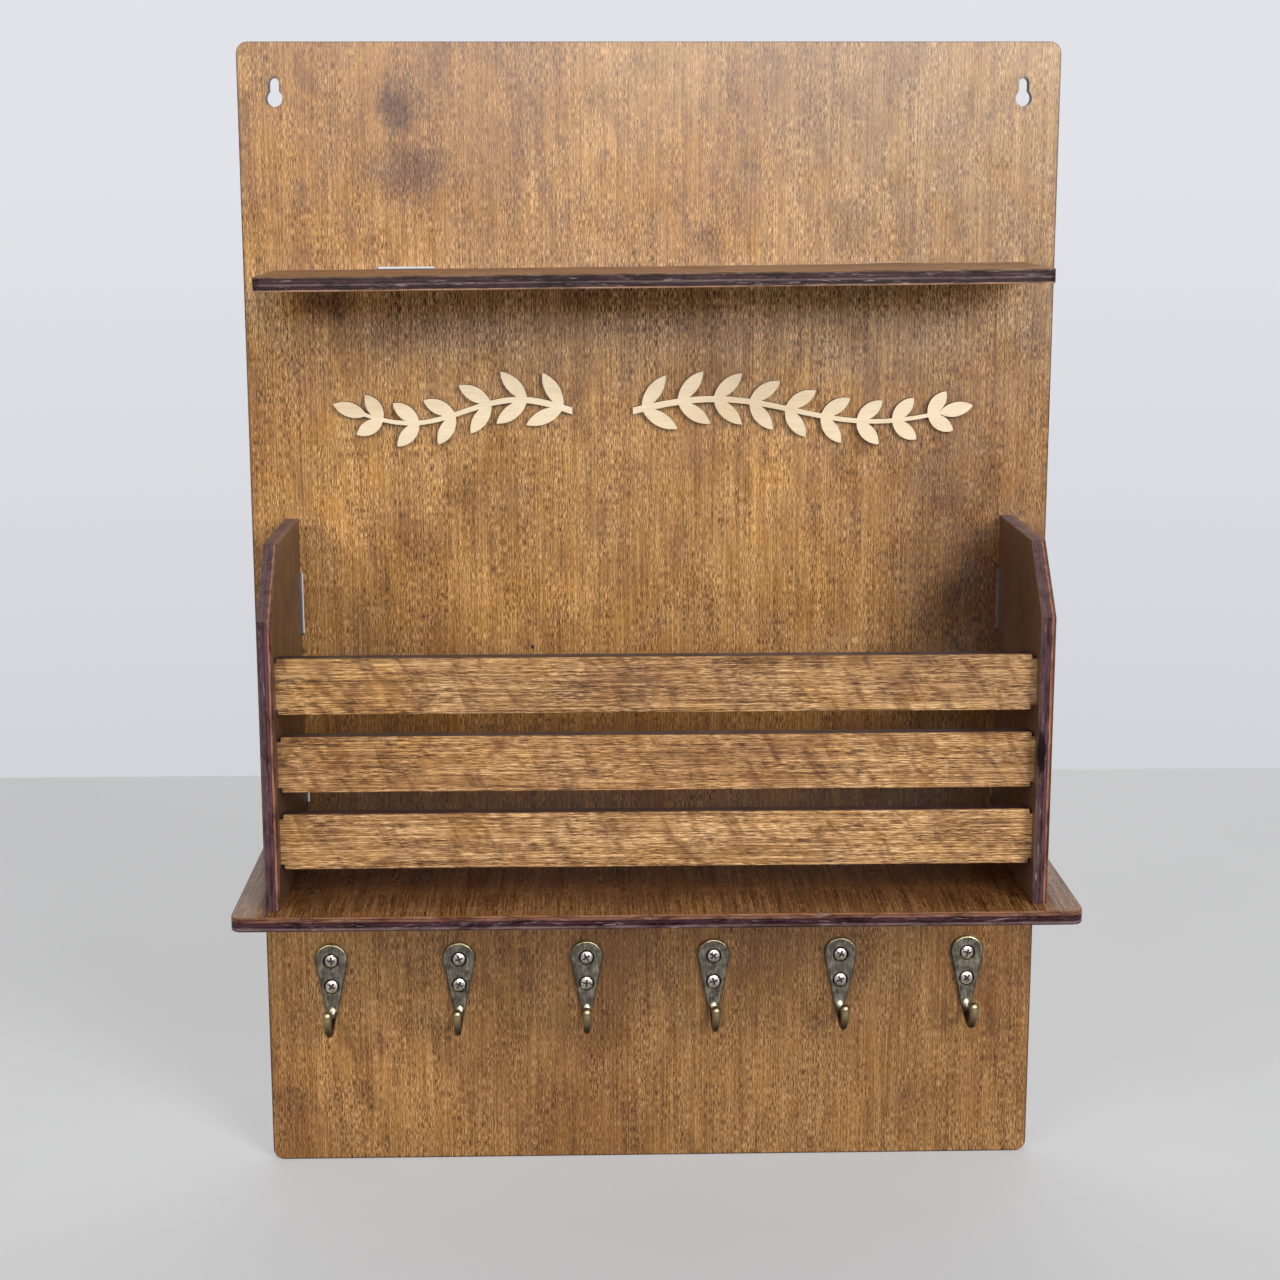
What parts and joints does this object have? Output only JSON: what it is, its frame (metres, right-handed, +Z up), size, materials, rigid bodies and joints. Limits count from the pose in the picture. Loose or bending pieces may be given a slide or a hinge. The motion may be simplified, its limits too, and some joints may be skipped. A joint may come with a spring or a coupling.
{
  "type": "wall key holder",
  "caption": "Wall-hung plywood key holder: a tall stained board with keyhole slots, an upper shelf, a slatted letter rack on a lower shelf, pale cut-out sprigs and a row of aged bronze hooks.",
  "frame": {"origin": "middle of the board's back face, in the wall plane", "axes": "+X to the right seen from the front, +Y into the wall, +Z up"},
  "size_m": [0.35, 0.115, 0.503],
  "materials": {
    "board_ply": "stained birch plywood, upright grain, satin",
    "shelf_ply": "stained birch plywood, satin, dark laser-cut edges",
    "panel_ply": "stained birch plywood, satin, dark laser-cut edges",
    "slat_ply": "stained birch plywood, grain along the slat, satin",
    "pale_ply": "bare birch plywood, matte, brown laser-cut edges",
    "aged_bronze": "antiqued bronze plating, worn bright on raised edges",
    "nickel": "nickel-plated steel"
  },
  "bodies": {
    "root": {"backboard": "board_ply", "upper_shelf": "shelf_ply", "lower_shelf": "shelf_ply", "side_panel_left": "panel_ply", "side_panel_right": "panel_ply", "slat_top": "slat_ply", "slat_middle": "slat_ply", "slat_bottom": "slat_ply", "sprig_left": "pale_ply", "sprig_right": "pale_ply", "hook_1": "aged_bronze", "hook_2": "aged_bronze", "hook_3": "aged_bronze", "hook_4": "aged_bronze", "hook_5": "aged_bronze", "hook_6": "aged_bronze", "hook_screws": "nickel"}
  },
  "joints": []
}
